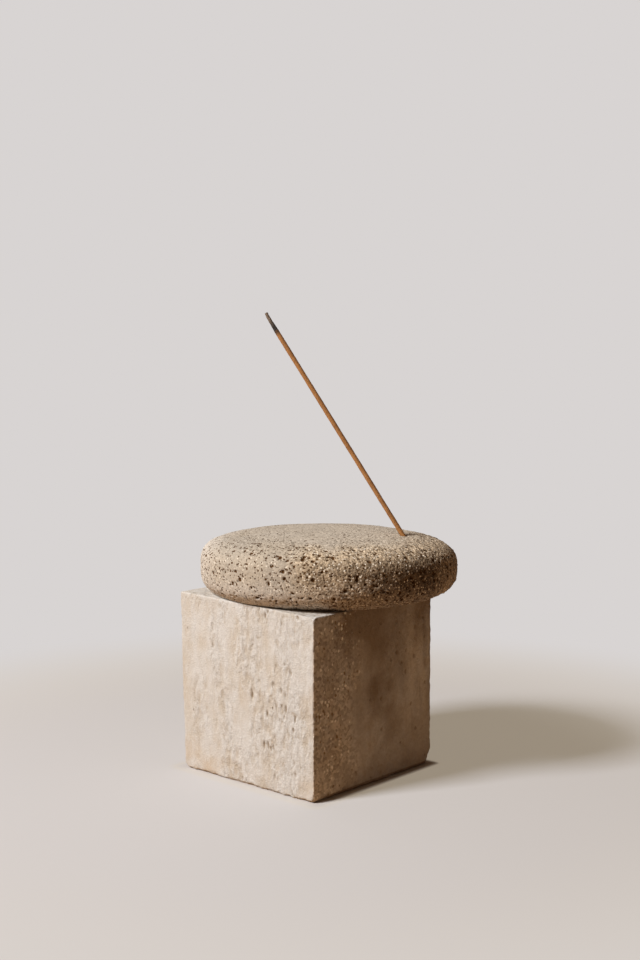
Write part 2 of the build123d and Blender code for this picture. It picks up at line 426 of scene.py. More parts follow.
class Nodes:
    """The nodes of one tree, added in a few plain steps."""

    def __init__(self, tree):
        self.tree = tree
        tree.nodes.clear()

    def add(self, kind, inputs=None, **settings):
        """One node: its kind, its inputs by name or number, then its settings.

        An input that is a socket is linked, and any other value is set.
        """
        node = self.tree.nodes.new(kind)
        for name, value in settings.items():
            setattr(node, name, value)
        for name, value in (inputs or {}).items():
            if isinstance(value, bpy.types.NodeSocket):
                self.tree.links.new(value, node.inputs[name])
            else:
                node.inputs[name].default_value = value
        return node

    def math(self, how, *values, **settings):
        """Value socket of one arithmetic step."""
        return self.add("ShaderNodeMath", dict(enumerate(values)), operation=how, **settings).outputs[0]

    def times(self, first, second):
        """Value socket of a product."""
        return self.math("MULTIPLY", first, second)

    def larger(self, first, second):
        """Value socket of the larger of two values."""
        return self.math("MAXIMUM", first, second)

    def vector(self, how, *values):
        """Output sockets of one step with vectors."""
        return self.add("ShaderNodeVectorMath", dict(enumerate(values)), operation=how).outputs

    def ramp(self, value, low, high, start=0.0, end=1.0):
        """Value socket that eases from start to end while the value goes from low to high."""
        inputs = {"Value": value, "From Min": low, "From Max": high, "To Min": start, "To Max": end}
        return self.add("ShaderNodeMapRange", inputs, interpolation_type="SMOOTHSTEP").outputs["Result"]

    def spread(self, value, start, end):
        """Value socket that eases from start to end while the value goes from 0 to 1."""
        return self.ramp(value, 0.0, 1.0, start, end)

    def mix(self, share, first, second, how="MIX"):
        """Colour socket between two colours."""
        inputs = {0: share, 6: opaque(first), 7: opaque(second)}
        return self.add("ShaderNodeMix", inputs, data_type="RGBA", blend_type=how).outputs[2]

    def toned(self, base, share, dark, pale, strength=1.0):
        """Colour socket: the base times a tone between dark and pale, at a strength."""
        return self.mix(strength, base, self.mix(share, dark, pale), "MULTIPLY")

    def mark(self, name):
        """Value socket of a number stored on the mesh."""
        return self.add("ShaderNodeAttribute", attribute_name=name).outputs["Fac"]

    def effect(self, name, place, **values):
        """Output sockets of one effect; its values are named as its sockets are."""
        return self.add("ShaderNodeGroup", {"Vector": place, **values}, node_tree=effect_group(name)).outputs

    def mottle(self, place, scale, contrast):
        """Value socket of a cloudy change of tone."""
        return self.effect("Mottle", place, Scale=scale, Contrast=contrast)["Value"]

    def specks(self, place, scale, share, size):
        """Mask socket of scattered specks."""
        return self.effect("Speckle", place, Scale=scale, Share=share, Size=size)["Mask"]

    def hollows(self, place, rim, scale):
        """Mask socket of the painted shade in the deep pores, from the depth stored on the mesh."""
        return self.effect("Hollow", place, Depth=self.mark("pit"), Rim=rim, Scale=scale)["Mask"]

    def seen(self):
        """Value socket: 1 for rays that show the surface to the eye, 0 for those that only carry light."""
        ray = self.add("ShaderNodeLightPath").outputs
        plain_sight = self.larger(ray["Is Camera Ray"], ray["Is Glossy Ray"])
        return self.larger(plain_sight, ray["Is Transmission Ray"])

    def surface(self, colour, roughness, height, distance, specular=0.3):
        """The finished surface: its colour, roughness and bump vary, and its gloss is the same all over."""
        bump = self.add("ShaderNodeBump", {"Height": height, "Strength": 1.0, "Distance": distance})
        shader = self.add("ShaderNodeBsdfPrincipled", {
            "Base Color": colour,
            "Roughness": roughness,
            "Normal": bump.outputs[0],
            "Specular IOR Level": specular,
        })
        self.add("ShaderNodeOutputMaterial", {"Surface": shader.outputs[0]})


def cell_nodes(nodes, into):
    """Output sockets of a pattern of cells, and of the random numbers that each cell has."""
    cells = nodes.add("ShaderNodeTexVoronoi", {"Vector": into["Vector"], "Scale": into["Scale"]}).outputs
    return cells, nodes.add("ShaderNodeSeparateColor", {"Color": cells["Color"]}).outputs


def speckle_nodes(nodes, into):
    """Small specks: a share of the cells show one, with its own size and a broken rim."""
    cells, numbers = cell_nodes(nodes, into)
    chosen = nodes.math("LESS_THAN", numbers["Red"], into["Share"])
    finer = nodes.times(into["Scale"], 2.2)
    noise = nodes.add("ShaderNodeTexNoise", {"Vector": into["Vector"], "Scale": finer, "Detail": 1.0})
    wobble = nodes.math("MULTIPLY_ADD", noise.outputs[0], 0.5, -0.25)
    size = nodes.times(into["Size"], nodes.spread(numbers["Blue"], 0.55, 1.25))
    edge = nodes.math("SUBTRACT", nodes.math("ADD", size, wobble), cells["Distance"])
    return {"Mask": nodes.times(nodes.ramp(edge, 0.0, 0.14), chosen)}


def sand_nodes(nodes, into):
    """Packed sand: cells with their own tone, each domed from its edge to its middle."""
    cells, numbers = cell_nodes(nodes, into)
    return {"Tone": numbers["Red"], "Dome": nodes.ramp(cells["Distance"], 0.75, 0.05)}


def mottle_nodes(nodes, into):
    """Cloudy change of tone: layered noise, drawn out about its middle by a contrast."""
    inputs = {"Vector": into["Vector"], "Scale": into["Scale"], "Detail": 6.0, "Roughness": 0.6}
    noise = nodes.add("ShaderNodeTexNoise", inputs)
    centred = nodes.math("SUBTRACT", noise.outputs[0], 0.5)
    return {"Value": nodes.math("MULTIPLY_ADD", centred, into["Contrast"], 0.5, use_clamp=True)}


def hollow_nodes(nodes, into):
    """Painted shade in a pore: darker with its depth, broken by fine noise at its rim."""
    noise = nodes.add("ShaderNodeTexNoise", {"Vector": into["Vector"], "Scale": into["Scale"], "Detail": 3.0})
    centred = nodes.math("SUBTRACT", noise.outputs[0], 0.5)
    broken = nodes.math("MULTIPLY_ADD", centred, 0.5, into["Depth"])
    return {"Mask": nodes.ramp(broken, 0.0, into["Rim"])}


# Each effect's nodes, and its inputs beside the place, with their defaults
EFFECTS = {
    "Speckle": (speckle_nodes, {"Scale": 1000.0, "Share": 0.5, "Size": 0.35}),
    "Sand": (sand_nodes, {"Scale": 900.0}),
    "Mottle": (mottle_nodes, {"Scale": 50.0, "Contrast": 1.5}),
    "Hollow": (hollow_nodes, {"Depth": 0.0, "Rim": 0.25, "Scale": 1500.0}),
}


def effect_group(name):
    """The node group of an effect, made when it is first asked for."""
    found = bpy.data.node_groups.get(name)
    if found:
        return found
    build, defaults = EFFECTS[name]
    tree = bpy.data.node_groups.new(name, "ShaderNodeTree")
    tree.interface.new_socket("Vector", in_out="INPUT", socket_type="NodeSocketVector")
    for socket, default in defaults.items():
        made = tree.interface.new_socket(socket, in_out="INPUT", socket_type="NodeSocketFloat")
        made.default_value = default
    nodes = Nodes(tree)
    results = build(nodes, nodes.add("NodeGroupInput").outputs)
    for socket in results:
        tree.interface.new_socket(socket, in_out="OUTPUT", socket_type="NodeSocketFloat")
    nodes.add("NodeGroupOutput", results)
    return tree


def new_material(name):
    """Empty material, with its nodes and its object coordinates."""
    material = bpy.data.materials.new(name)
    material.use_nodes = True
    nodes = Nodes(material.node_tree)
    return material, nodes, nodes.add("ShaderNodeTexCoord").outputs["Object"]


def travertine_material(block):
    """Sawn travertine: upright beds with pale ridges and tan furrows, rusty stains and open pores."""
    material, nodes, place = new_material("travertine")
    beds = nodes.add("ShaderNodeMapping", {"Vector": place, "Scale": (0.55, 1.0, 0.42)}).outputs[0]
    open_grain = nodes.mark("open_grain")
    fine = nodes.mottle(place, 1500.0, 2.2)
    lumps = nodes.math("SUBTRACT", nodes.mottle(place, 210.0, 2.4), 0.5)
    ridges = nodes.math("MULTIPLY_ADD", lumps, 0.55, nodes.mottle(beds, 330.0, 2.8))
    stone = bed_colour(nodes, block, place, beds)
    stone = ridge_colour(nodes, block, ridges, open_grain, stone)
    stone = nodes.toned(stone, fine, (0.90, 0.89, 0.87), (1.07, 1.07, 1.07))
    stone = sandy_colour(nodes, block, place, stone)
    # Painted shade: strokes and pores take the pore colour, the shade deep in them
    strokes = nodes.specks(beds, 400.0, nodes.spread(open_grain, 0.05, 0.42), 0.24)
    stone = nodes.mix(nodes.times(strokes, 0.52), stone, block.pore)
    stone = nodes.mix(nodes.times(nodes.hollows(place, 0.5, 1100.0), 0.66), stone, block.pore)
    height = nodes.times(ridges, nodes.spread(open_grain, 0.4, 1.4))
    height = nodes.math("SUBTRACT", height, strokes)
    height = nodes.math("MULTIPLY_ADD", fine, 0.35, height)
    nodes.surface(stone, nodes.spread(fine, 0.72, 0.92), height, 0.5 * MM, 0.15)
    return material


def bed_colour(nodes, block, place, beds):
    """Colour socket of the beds: pale and tan, clouded, with rusty stains."""
    stone = nodes.mix(nodes.ramp(nodes.mottle(beds, 90.0, 2.2), 0.1, 0.75), block.tan, block.pale)
    cloud = nodes.mottle(place, 26.0, 2.0)
    stone = nodes.mix(nodes.ramp(cloud, 0.3, 0.9, 0.0, 0.2), stone, block.tan)
    return nodes.mix(nodes.mark("stain"), stone, block.ochre)


def ridge_colour(nodes, block, ridges, open_grain, stone):
    """Colour socket with chalky ridges and darker furrows, then the front face's painted shade and pale
    streaks, which carry painted bounce light too.
    """
    crest = nodes.times(nodes.ramp(ridges, 0.55, 0.85), nodes.spread(open_grain, 0.3, 0.8))
    stone = nodes.mix(crest, stone, block.chalk)
    trough = nodes.times(nodes.ramp(ridges, 0.40, 0.08), nodes.spread(open_grain, 0.10, 0.52))
    stone = nodes.mix(trough, stone, block.furrow)
    # Painted shade on the front face
    stone = nodes.mix(nodes.times(nodes.mark("painted_shade"), 0.9), stone, block.painted_shade)
    # Pale streaks, with painted bounce light at the foot and the far lower corner
    return nodes.mix(nodes.times(nodes.mark("pale_streak_and_painted_light"), 0.4), stone, block.flake)


def sandy_colour(nodes, block, place, stone):
    """Colour socket with the front face's sand: packed grains of mixed tone, pale flakes, and holes painted
    dark as shade.
    """
    sandy = nodes.mark("flat_bed")
    grains = nodes.effect("Sand", place, Scale=700.0)["Tone"]
    strength = nodes.spread(sandy, 0.04, 0.85)
    stone = nodes.toned(stone, grains, (0.58, 0.53, 0.48), (1.30, 1.26, 1.20), strength)
    flakes = nodes.times(nodes.specks(place, 350.0, 0.5, 0.32), nodes.ramp(sandy, 0.2, 0.9))
    stone = nodes.mix(flakes, stone, block.flake)
    holes = nodes.times(nodes.specks(place, 300.0, 0.42, 0.28), nodes.ramp(sandy, 0.2, 0.9, 0.0, 0.85))
    return nodes.mix(holes, stone, block.pore)


def porous_material(pebble):
    """Porous volcanic stone: beige ground, sand of two sizes, pale grains, and pores of three sizes darkened
    by painted shade.
    """
    material, nodes, place = new_material("porous_stone")
    coarse, gather = nodes.mark("coarse"), nodes.mark("gather")
    fine = nodes.mottle(place, 1100.0, 2.4)
    stone = ground_colour(nodes, pebble, place, coarse)
    stone = nodes.toned(stone, fine, (0.84, 0.82, 0.80), (1.12, 1.12, 1.12))
    # The sand is plainer where the stone is less coarse
    sandy = nodes.spread(coarse, 0.15, 0.8)
    large, small = nodes.effect("Sand", place, Scale=740.0), nodes.effect("Sand", place, Scale=950.0)
    for sand in (large, small):
        stone = nodes.toned(stone, sand["Tone"], (0.52, 0.47, 0.42), (1.48, 1.45, 1.41), sandy)
    stone = grain_colour(nodes, pebble, place, coarse, stone)
    # Small pores of two sizes beside the deep ones of the mesh, all painted dark as shade
    middling = nodes.specks(place, 430.0, nodes.spread(gather, 0.14, 0.88), 0.28)
    tiny = nodes.specks(place, 660.0, nodes.spread(gather, 0.32, 0.88), 0.30)
    pores = nodes.larger(middling, tiny)
    dark = nodes.times(nodes.larger(pores, nodes.hollows(place, 0.22, 1400.0)), 0.97)
    stone = nodes.mix(dark, stone, pebble.pit)
    height = nodes.math("MULTIPLY_ADD", small["Dome"], 0.5, large["Dome"])
    height = nodes.math("MULTIPLY_ADD", fine, 0.6, nodes.times(height, sandy))
    height = nodes.math("MULTIPLY_ADD", pores, -1.5, height)
    nodes.surface(stone, nodes.spread(fine, 0.74, 0.95), height, 0.25 * MM, 0.1)
    return material


def ground_colour(nodes, pebble, place, coarse):
    """Colour socket of the ground, tawny on the coarse side and paler at the worn top and far end.

    Painted shade darkens the coarse side, and painted bounce light pales the skin near the foot.
    """
    patches = nodes.ramp(nodes.mottle(place, 40.0, 2.2), 0.1, 0.8, 0.0, 0.3)
    tawny = nodes.larger(patches, nodes.ramp(coarse, 0.1, 0.7, 0.0, 0.9))
    stone = nodes.mix(tawny, pebble.ground, pebble.tawny)
    # Painted shade on the drilled side
    stone = nodes.mix(nodes.times(nodes.mark("painted_side_shade"), 0.94), stone, pebble.dark)
    stone = nodes.mix(nodes.times(nodes.mark("worn"), 0.34), stone, pebble.grain)
    # Paler far end, and painted bounce light near the foot
    return nodes.mix(nodes.mark("rim"), stone, pebble.pale_end_and_bounce)


def grain_colour(nodes, pebble, place, coarse, stone):
    """Colour socket with the mesh's paler grains and crisp crystals, most of them on the coarse side."""
    pale = nodes.times(nodes.ramp(nodes.mark("grain"), 0.0, 0.3), nodes.ramp(nodes.mark("tone"), 0.4, 0.65))
    pale = nodes.times(pale, nodes.ramp(coarse, 0.0, 0.8, 0.15, 0.45))
    stone = nodes.mix(pale, stone, pebble.grain)
    crystals = nodes.specks(place, 620.0, nodes.ramp(coarse, 0.0, 0.8, 0.52, 0.98), 0.31)
    sparkle = nodes.times(crystals, nodes.ramp(coarse, 0.0, 0.6, 0.6, 0.95))
    return nodes.mix(sparkle, stone, pebble.crystal)


def paste_material(stick):
    """Rolled incense paste: fine wood dust with dark specks, scorched towards the burnt end."""
    material, nodes, place = new_material("incense_paste")
    cloud = nodes.mottle(place, 160.0, 2.4)
    fine = nodes.mottle(place, 2400.0, 2.4)
    paste = nodes.mix(nodes.ramp(cloud, 0.2, 0.9, 0.0, 0.6), stick.paste, stick.paste_dark)
    paste = nodes.toned(paste, fine, (0.74, 0.72, 0.70), (1.16, 1.16, 1.16))
    specks = nodes.times(nodes.specks(place, 2100.0, 0.3, 0.3), 0.6)
    paste = nodes.mix(specks, paste, scaled(stick.paste_dark, 0.5))
    paste = nodes.mix(nodes.mark("scorch"), paste, stick.char)
    nodes.surface(paste, nodes.spread(fine, 0.72, 0.9), fine, 0.12 * MM)
    return material


def char_material(stick):
    """Burnt paste: near black and crazed, greyer towards the ash and brown at its foot."""
    material, nodes, place = new_material("char")
    fine = nodes.mottle(place, 2600.0, 2.8)
    burnt = nodes.mix(fine, scaled(stick.char, 0.6), scaled(stick.char, 1.8))
    burnt = nodes.mix(nodes.mark("paste"), burnt, stick.paste_dark)
    burnt = nodes.mix(nodes.mark("ash"), burnt, scaled(stick.ash, 0.42))
    nodes.surface(burnt, nodes.spread(fine, 0.7, 0.95), fine, 0.2 * MM)
    return material


def ash_material(stick):
    """Ash: flakes of mixed grey, darker where it meets the char."""
    material, nodes, place = new_material("ash")
    flakes = nodes.mottle(place, 1100.0, 2.6)
    fine = nodes.mottle(place, 3600.0, 2.0)
    ash = nodes.mix(flakes, scaled(stick.ash, 0.75), scaled(stick.ash, 1.2))
    ash = nodes.mix(nodes.mark("char"), ash, scaled(stick.char, 2.0))
    height = nodes.math("ADD", flakes, fine)
    nodes.surface(ash, nodes.spread(fine, 0.8, 1.0), height, 0.2 * MM, 0.15)
    return material


def bamboo_material(stick):
    """Split bamboo: a fine change of tone over a smoother surface."""
    material, nodes, place = new_material("bamboo")
    fine = nodes.mottle(place, 1800.0, 2.0)
    wood = nodes.mix(fine, scaled(stick.bamboo, 0.7), stick.bamboo)
    nodes.surface(wood, nodes.spread(fine, 0.5, 0.7), fine, 0.05 * MM)
    return material


def edge_spaced(length, cells):
    """Places of the lattice lines along one edge: a few close lines at each end, the rest even."""
    middle = np.linspace(EDGE_BAND, length - EDGE_BAND, cells + 1 - 2 * len(EDGE_LINES))
    return np.concatenate([EDGE_LINES, middle, length - EDGE_LINES[::-1]])


def worn_radius(points, rounding):
    """Radius of the worn edges: it swells and shrinks along them and grows at the foot, most in front."""
    radius = rounding * (1 + 0.55 * rough(points, 9.0, 11) + 0.35 * swell(points, 2.2, 15))
    _, behind, above = (points - BLOCK_LOW).T
    radius *= 1 + eased(5.0, 0.0, above) * (1 + eased(1.0, 0.0, behind))
    return np.clip(radius, 0.25, 2.8)[:, None]


def block_points(places, rounding):
    """Rounded box with worn edges and broken corners, and the way out from it at each point.

    A point of the box is drawn back to the inner box, which lies a radius inside, and set at that
    radius from there. Then each broken corner is a rough plane, and what lies beyond it is pressed
    back on to it.
    """
    lines = [edge_spaced(length, cells) for length, cells in zip(BLOCK_SQUARE - BLOCK_LOW, BLOCK_CELLS)]
    points = BLOCK_LOW + np.stack([line[place] for line, place in zip(lines, places.T)], 1)
    radius = worn_radius(points, rounding)
    inner = np.clip(points, BLOCK_LOW + radius, BLOCK_SQUARE - radius)
    away = points - inner
    reach = np.linalg.norm(away, axis=1, keepdims=True)
    away /= np.maximum(reach, 1e-9)
    points = inner + away * np.minimum(radius, reach)
    grit = 0.35 * rough(points, 2.6, 21)
    for side, run in BROKEN_CORNERS:
        corner = np.where(np.array(side) > 0, BLOCK_SQUARE, BLOCK_LOW)
        facing = np.array(side) / run
        steep = np.linalg.norm(facing)
        beyond = ((points - corner) @ facing + 1) / steep + grit
        points = points - np.maximum(beyond, 0)[:, None] * facing / steep
    return np.clip(points, BLOCK_LOW, BLOCK_SQUARE), away


def block_share(points):
    """Where each point lies in the square block, from 0 to 1 on each axis."""
    return (points - BLOCK_LOW) / (BLOCK_SQUARE - BLOCK_LOW)


def out_of_square(points):
    """Saws the square block out of square.

    The share of the depth times the share of the height says how near a point lies to the back
    top edge; that share of the lean is added to its depth, and of the rise to its height.
    """
    _, depth, height = block_share(points).T
    return points + (depth * height)[:, None] * (0, BACK_LEAN, TOP_RISE)


def edge_nearness(points):
    """1 on an edge of the block, 0 further in: by the second nearest of its faces."""
    gaps = np.minimum(points - BLOCK_LOW, BLOCK_SQUARE - points)
    return eased(2.6, 0.4, np.sort(gaps, axis=1)[:, 1])


def pore_swarm(points):
    """How closely the block's pores gather: most in one band of beds, least towards the back."""
    depth = points[:, 1]
    swarm = rough(points * (0.35, 1.0, 0.22), 8.0, 41)
    return swarm + 0.5 * bell(depth, -17, 20) - 0.65 * eased(8, 42, depth)


def bed_pores(points, swarm):
    """Depth inside the block's pores, which lie along the upright beds: narrow across, drawn out and up."""
    bed = drifted(points, 5.0, 0.8, 31) * (0.45, 1.0, 0.34)
    pore, _ = spots(bed, 1.9, 51, 0.80, 0.45, 1.05)
    pore -= 0.80 * (1 - eased(-0.35, 0.75, swarm))
    lone, _ = spots(drifted(points, 3.0, 0.5, 61) * (0.5, 1.0, 0.45), 6.5, 71, 0.16, 0.35, 1.0)
    return np.maximum(pore, lone)


def carved(points, normals, away, pore, swarm, pit_depth):
    """The square block with pores and furrows sunk in its faces and nicks along its edges.

    The top is shallower than the sides, the underside is plain, and the rounded edges are between.
    """
    furrow = rough(points * (0.5, 1.0, 0.40), 3.4, 81, layers=1)
    depth = pit_depth * eased(0.0, 0.55, pore) + 0.45 * eased(-0.2, 0.9, furrow) * eased(-0.6, 0.5, swarm)
    upright = normals[:, 2]
    depth *= 1 - eased(0.9, 0.99, np.abs(upright)) * np.where(upright > 0, 0.75, 1.0)
    sawn = np.abs(normals).max(axis=1) > 0.985
    depth = np.where(sawn, depth, 0.6 * depth)
    nick, _ = spots(points, 4.2, 91, 0.42, 0.5, 1.8)
    chipped = 0.75 * eased(0.0, 0.9, nick) * edge_nearness(points)
    points = points - normals * depth[:, None] - away * chipped[:, None]
    return np.clip(points, BLOCK_LOW, BLOCK_SQUARE)


def painted_foot_shadow(points):
    """Painted contact shadow: 1 along the foot of the front face, where the gap under it is dark, and 0
    elsewhere.
    """
    across, behind, above = (points - BLOCK_LOW).T
    return eased(2.4, 1.0, above) * eased(3.2, 1.2, behind) * eased(6, 13, across)


def rusty_stain(points):
    """Strength of the rust: patches low at the back, and faint clouds below the top."""
    _, depth, height = block_share(points).T
    stain = 0.45 * eased(0.25, 0.0, height) * eased(0.35, 0.95, depth)
    stain *= eased(-0.5, 0.5, rough(points, 14.0, 111))
    stain += 0.18 * eased(0.25, 0.9, rough(points * (1, 1, 0.6), 16.0, 121)) * eased(0.9, 0.4, height)
    return np.clip(stain, 0, 0.7)


def front_marks(points, front):
    """Marks of the front face, which is one bed seen flat.

    It is sandy near its lit edge. Painted shade darkens its upper middle and the strip below the top,
    where the pebble shades it, with random clouds. Pale stone streaks it near its far edge, partly
    painted bounce light there, and painted bounce light pales its foot and its far lower corner.
    Places are in millimetres across and up the face.
    """
    x, _, z = points.T
    blotch = rough(points, 13.0, 131)
    sandy = 0.3 + 0.7 * eased(-12, -32, x + 6 * blotch)
    # Painted shade where the pebble shades the face: darkest in its upper middle, under the top and high at
    # the far edge
    painted_shade = 0.72 * bell(x, 5 - 11 * eased(55, 95, z), 31) * eased(12, 70, z + 12 * blotch)
    painted_shade += 0.45 * eased(70, 96, z) * eased(-36, -20, x)
    painted_shade += 0.5 * eased(50, 90, z) * eased(25, 40, x)
    # Pale stone streaks near the far edge, faded towards the top as painted shade
    pale_streak_and_painted_light = 0.8 * eased(0.0, 0.5, rough(points * (1, 1, 0.12), 4.5, 141))
    pale_streak_and_painted_light *= eased(20, 32, x + 3 * blotch) * (1 - 0.7 * eased(60, 95, z))
    # The far band: partly pale stone, partly painted bounce light
    band = bell(x + 2 * blotch, 33, 5) * eased(20, 50, z + 6 * blotch) * (1 - 0.6 * eased(60, 95, z))
    # Painted bounce light from the floor, at the foot and in the far lower corner
    foot = eased(32, 2, z + 5 * blotch) * (0.35 + 0.4 * eased(10, -40, x))
    corner = eased(52, 12, z) * eased(22, 42, x)
    return {
        "flat_bed": front * sandy,
        "painted_shade": front * np.clip(painted_shade + 0.28 * blotch, 0, 1),
        "pale_streak_and_painted_light": front * np.maximum.reduce([pale_streak_and_painted_light, band, foot, corner]),
    }


class HOLDER_OT_block(bpy.types.Operator):
    """Build the travertine block"""

    bl_idname = "holder.block"
    bl_label = "Travertine block"

    def execute(self, context):
        block = context.scene.holder_block
        places, quads = wrapped_lattice(BLOCK_CELLS)
        square, away = block_points(places, block.edge_rounding / MM)
        piece = new_piece("travertine_block_stone", square, quads, travertine_material(block))
        swarm = pore_swarm(square)
        pore = bed_pores(square, swarm)
        points = carved(square, outward(piece), away, pore, swarm, block.pit_depth / MM)
        set_points(piece, out_of_square(points))
        front = eased(0.9, 0.1, square[:, 1] - BLOCK_LOW[1])
        set_marks(piece, open_grain=eased(-0.9, 0.7, swarm), stain=rusty_stain(points))
        # The pore mark also carries the painted contact shadow along the front face's foot
        set_marks(piece, pit=np.maximum(pore, painted_foot_shadow(square)), **front_marks(points, front))
        seat(piece, "block", "travertine_block")
        return {"FINISHED"}


def pebble_skin(heading, rise, flat_share, pebble):
    """The pebble's skin in its own frame, by heading and rise in radians.

    The rise goes from a quarter turn at the top, through 0 at the girth, to minus a quarter turn
    at the rim of the flat. Above the girth the side is a superellipse from the top to the girth,
    below it another from the girth to the flat's rim, whose fullness changes with the heading.
    On the flat the rim's radius shrinks by the flat share.
    """
    away, aside = np.cos(heading), np.sin(heading)
    level, lift = np.clip(np.cos(rise), 0, 1), np.abs(np.sin(rise))
    girth, flat = pebble.girth_height / MM, pebble.flat_length / MM / 2
    under = 2 / (pebble.underside_fullness - pebble.underside_bias * away)
    crown = 2 / (pebble.crown_fullness - pebble.crown_bias * away)
    above = rise >= 0
    radius = np.where(above, HALF_LENGTH * level**crown, flat + (HALF_LENGTH - flat) * level**under)
    height = np.where(above, girth + (PEBBLE_HEIGHT - girth) * lift**crown, girth * (1 - lift**under))
    radius, height = radius * (1 - flat_share), np.where(flat_share > 0, 0, height)
    return np.stack([radius * away, radius * aside * HALF_WIDTH / HALF_LENGTH, height], 1)


def side_steps(step):
    """Rise and flat share of a step down the side: 0 at the top, 1 at the flat's rim, 2 at its middle."""
    return np.clip(pi / 2 - pi * step, -pi / 2, pi / 2), np.clip(step - 1, 0, 1)


def disc_places(x, y):
    """A square sheet, from -1 to 1, laid out as a disc.

    The greater of a point's two offsets is its way out from the middle, and their ratio its heading.
    """
    out = np.maximum(np.abs(x), np.abs(y))
    flat_x = np.abs(x) >= np.abs(y)
    ratio = np.where(flat_x, y / np.where(x == 0, 1, x), x / np.where(y == 0, 1, y))
    heading = np.where(flat_x, pi / 4 * ratio + pi * (x < 0), pi / 2 - pi / 4 * ratio + pi * (y < 0))
    return out, heading


def pebble_points(places, pebble):
    """The whole pebble: a lattice whose top sheet, sides and bottom sheet cover its skin evenly.

    The way from the top, round the girth, to the middle of the flat is shared out by length along
    the side. On the flat, which is hidden, a length counts for less.
    """
    across, _, rows = PEBBLE_CELLS
    out, heading = disc_places(*(2 * places[:, :2].T / across - 1))
    total = across + rows
    first, last = across / 2 / total, (across / 2 + rows) / total
    level = places[:, 2]
    way = first + (1 - level / rows) * (last - first)
    way = np.where(level == rows, out * first, way)
    way = np.where(level == 0, 1 - out * (1 - last), way)
    step = np.linspace(0, 2, 40001)
    line = pebble_skin(np.full(len(step), pi / 2), *side_steps(step), pebble)
    length = np.linalg.norm(np.diff(line, axis=0), axis=1) * np.where(step[1:] > 1, 0.35, 1.0)
    length = np.concatenate([[0], np.cumsum(length)])
    found = np.interp(way, length / length[-1], step)
    return pebble_skin(heading, *side_steps(found), pebble)


def crown_way(points, axis, pebble):
    """How far along the axis each point lies from the crown.

    On the crown the oval share of the plan, to the fullness, and the share of the height above
    the girth, to the fullness, add up to one. Newton steps from outside find that place.
    """
    girth, fullness = pebble.girth_height / MM, pebble.crown_fullness - pebble.crown_bias
    rise = PEBBLE_HEIGHT - girth
    way = np.full(len(points), 2.0 * PEBBLE_HEIGHT)
    for _ in range(30):
        x, y, z = (points + way[:, None] * axis).T
        plan = np.maximum(np.hypot(x / HALF_LENGTH, y / HALF_WIDTH), 1e-6)
        tall = np.maximum((z - girth) / rise, 1e-6)
        over = plan**fullness + tall**fullness - 1
        plan_slope = (x * axis[0] / HALF_LENGTH**2 + y * axis[1] / HALF_WIDTH**2) / plan
        slope = fullness * (plan ** (fullness - 1) * plan_slope + tall ** (fullness - 1) * axis[2] / rise)
        way = way - over / slope
    return way


def bored(points, pebble):
    """Opens the slanted hole in the crown; gives the points and how far each lies inside the hole.

    Round the hole's line each point of the crown has a radius and a turn. The radii of the patch
    become the hole's floor, wall and eased mouth, and those from there to the reach spread over
    the crown outside the mouth.
    """
    rounding = pebble.mouth_rounding / MM
    bore = COAT_RADIUS + pebble.bore_clearance / MM
    axis = OWN_AXES @ STICK_AXIS
    foot = OWN_AXES @ (STICK_FOOT - PEBBLE_BASE)
    offset = points - foot
    offset -= (offset @ axis)[:, None] * axis
    radius = np.linalg.norm(offset, axis=1)
    near = (radius < HOLE_REACH) & (points[:, 2] > pebble.girth_height / MM)
    radius = radius[near]
    turn = offset[near] / np.maximum(radius, 1e-9)[:, None]
    floor_rim, wall_top = 0.25 * HOLE_PATCH, 0.75 * HOLE_PATCH
    limits = [0, floor_rim, wall_top, HOLE_PATCH, HOLE_REACH]
    wide = np.interp(radius, limits, [0, bore, bore, bore + rounding, HOLE_REACH])
    mouth = crown_way(foot + turn * np.maximum(wide, bore + rounding)[:, None], axis, pebble)
    quarter = np.clip((wide - bore) / rounding, 0, 1)
    lip = mouth - rounding * (1 - np.sqrt(np.clip(1 - (1 - quarter) ** 2, 0, 1)))
    wall = np.interp(radius, [floor_rim, wall_top], [0, 1]) * (mouth - rounding)
    height = np.where(radius > wall_top, lip, wall)
    result = points.copy()
    result[near] = foot + turn * wide[:, None] + height[:, None] * axis
    inside = np.zeros(len(points))
    inside[near] = eased(HOLE_PATCH + 2.5, HOLE_PATCH, radius)
    return result, inside


def settled(points):
    """Heights of points that have settled on the block's top: a small gap closes, a wide one stays."""
    slope = TOP_RISE / (BLOCK_HIGH - BLOCK_LOW)[1]
    bed = BLOCK_SQUARE[2] + slope * (points[:, 1] - BLOCK_LOW[1])
    gap = np.maximum(points[:, 2] - bed, 0)
    return bed + gap * eased(0.1, 2.4, gap)


